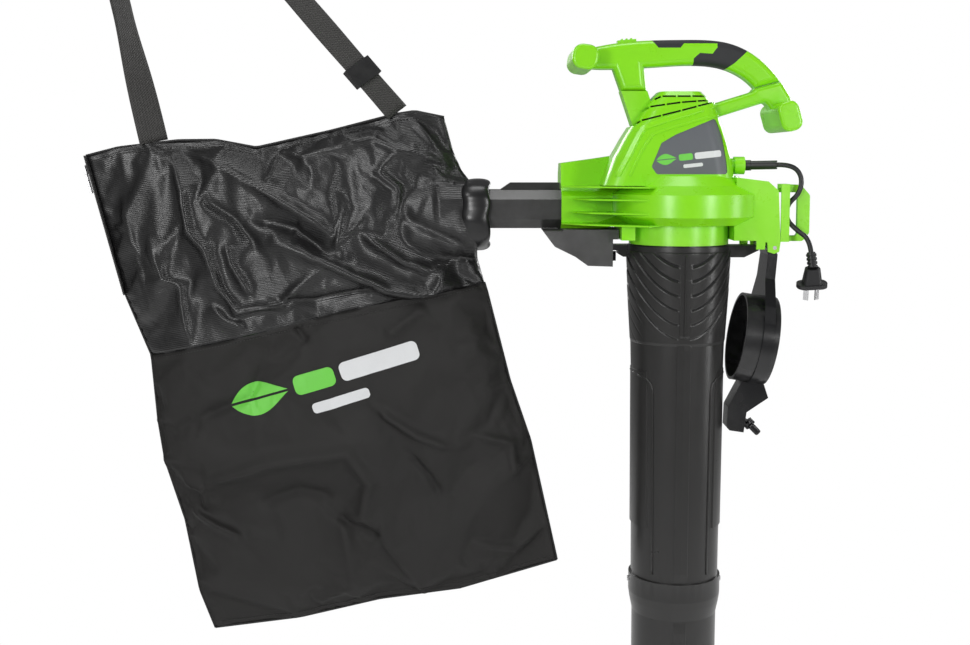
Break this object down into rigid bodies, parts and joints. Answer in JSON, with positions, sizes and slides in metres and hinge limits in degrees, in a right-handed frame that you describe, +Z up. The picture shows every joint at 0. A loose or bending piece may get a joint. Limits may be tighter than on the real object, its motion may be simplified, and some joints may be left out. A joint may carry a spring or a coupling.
{
  "type": "leaf vacuum mulcher",
  "caption": "Hand-held leaf vacuum mulcher: lime power head with hooped grip, round suction tube below, side duct to a soft collecting bag on a shoulder strap.",
  "frame": {"origin": "middle of the hand grip, on the fan axis", "axes": "+Z up along the suction tube towards the grip, +X along the grip towards the mains lead, +Y to the rear side"},
  "size_m": [0.9742, 0.2109, 1.546],
  "materials": {
    "lime_shell": "satin moulded lime green",
    "grip_rubber": "soft black overmould",
    "badge_grey": "fine matte grey insert",
    "tube_plastic": "fine spark texture, dark grey",
    "black_plastic": "satin black",
    "bracket_plastic": "satin dark grey",
    "steel": "bright steel",
    "stator_steel": "varnished laminations",
    "copper_coil": "enamelled copper",
    "carbon": "carbon",
    "board": "circuit board",
    "fan_plastic": "glass-filled nylon",
    "bag_ripstop": "shiny fine-rib black nylon",
    "bag_nylon": "matte black woven nylon",
    "webbing": "ribbed black webbing",
    "zip_tape": "black coil zip",
    "cord_rubber": "black rubber sheath",
    "plug_plastic": "moulded black"
  },
  "bodies": {
    "power_head": {"housing_front": "lime_shell", "housing_rear": "lime_shell", "handle_shell_front": "lime_shell", "handle_shell_rear": "lime_shell", "volute_upper": "lime_shell", "volute_lower": "lime_shell", "intake_flange": "lime_shell", "cord_retainer": "lime_shell", "cord_gland": "lime_shell", "grip_overmould": "grip_rubber", "badge_panel_front": "badge_grey", "badge_panel_rear": "badge_grey", "lock_bracket": "bracket_plastic", "brush_holders": "black_plastic", "motor_plate": "bracket_plastic", "power_switch": "black_plastic", "interlock_switch": "black_plastic", "bearing_bridge": "steel", "upper_bearing": "steel", "lower_bearing": "steel", "cover_hinge_pin": "steel", "shell_screws": "steel", "plug_pins": "steel", "motor_stator": "stator_steel", "field_windings": "copper_coil", "carbon_brushes": "carbon", "speed_board": "board", "cord_boot": "cord_rubber", "mains_lead": "cord_rubber", "plug_relief": "plug_plastic", "plug_body": "plug_plastic"},
    "rotor": {"motor_shaft": "steel", "armature": "stator_steel", "commutator": "copper_coil", "impeller": "fan_plastic", "impeller_nut": "steel"},
    "intake_cover": {"cover_ring": "black_plastic", "cover_grille": "black_plastic", "cover_arm": "black_plastic"},
    "cover_wing_screw": {"cover_knob": "black_plastic"},
    "thumb_slider": {"power_slider": "lime_shell"},
    "suction_tube": {"upper_tube": "tube_plastic", "lower_tube": "tube_plastic", "tube_screws": "steel"},
    "tube_hand_screw": {"tube_knob": "black_plastic", "tube_knob_stud": "steel"},
    "bag_assembly": {"bag_tube": "tube_plastic", "bag_collar": "bracket_plastic", "bag_upper": "bag_ripstop", "bag_lower": "bag_nylon", "zipper_tape": "zip_tape", "strap_left": "webbing", "strap_right": "webbing", "strap_top": "webbing"},
    "zip_slider": {"zip_puller": "steel"},
    "strap_adjuster": {"strap_buckle": "black_plastic"},
    "plunger": {"interlock_plunger": "black_plastic"}
  },
  "joints": [
    {"name": "rotor_spin", "type": "hinge", "parent": "power_head", "child": "rotor", "pos_m": [0, 0, -0.19], "axis": [0, 0, 1], "continuous": true},
    {"name": "cover_hinge", "type": "hinge", "parent": "power_head", "child": "intake_cover", "pos_m": [0.1135, 0, -0.247], "axis": [0, -1, 0], "range_deg": [0, 80]},
    {"name": "cover_screw_turn", "type": "hinge", "parent": "intake_cover", "child": "cover_wing_screw", "pos_m": [0.079, 0, -0.4655], "axis": [0.7071, 0, -0.7071], "continuous": true},
    {"name": "speed_slide", "type": "slide", "parent": "power_head", "child": "thumb_slider", "axis": [0.9945, 0, 0.1045], "range_m": [-0.01, 0.0075]},
    {"name": "tube_pull", "type": "slide", "parent": "power_head", "child": "suction_tube", "axis": [0, 0, -1], "range_m": [0, 0.04]},
    {"name": "tube_screw_turn", "type": "hinge", "parent": "suction_tube", "child": "tube_hand_screw", "pos_m": [-0.094, 0.01, -0.26], "axis": [0, 0, 1], "continuous": true},
    {"name": "bag_pull", "type": "slide", "parent": "power_head", "child": "bag_assembly", "axis": [-1, 0, 0], "range_m": [0, 0.09]},
    {"name": "zip_slide", "type": "slide", "parent": "bag_assembly", "child": "zip_slider", "axis": [0.2499, 0, -0.9683], "range_m": [0, 0.13]},
    {"name": "strap_slide", "type": "slide", "parent": "bag_assembly", "child": "strap_adjuster", "axis": [-0.6559, 0, 0.7548], "range_m": [0, 0.1]},
    {"name": "interlock_press", "type": "slide", "parent": "power_head", "child": "plunger", "axis": [0, 0, 1], "range_m": [0, 0.002], "stiffness_N_per_m": 300}
  ]
}
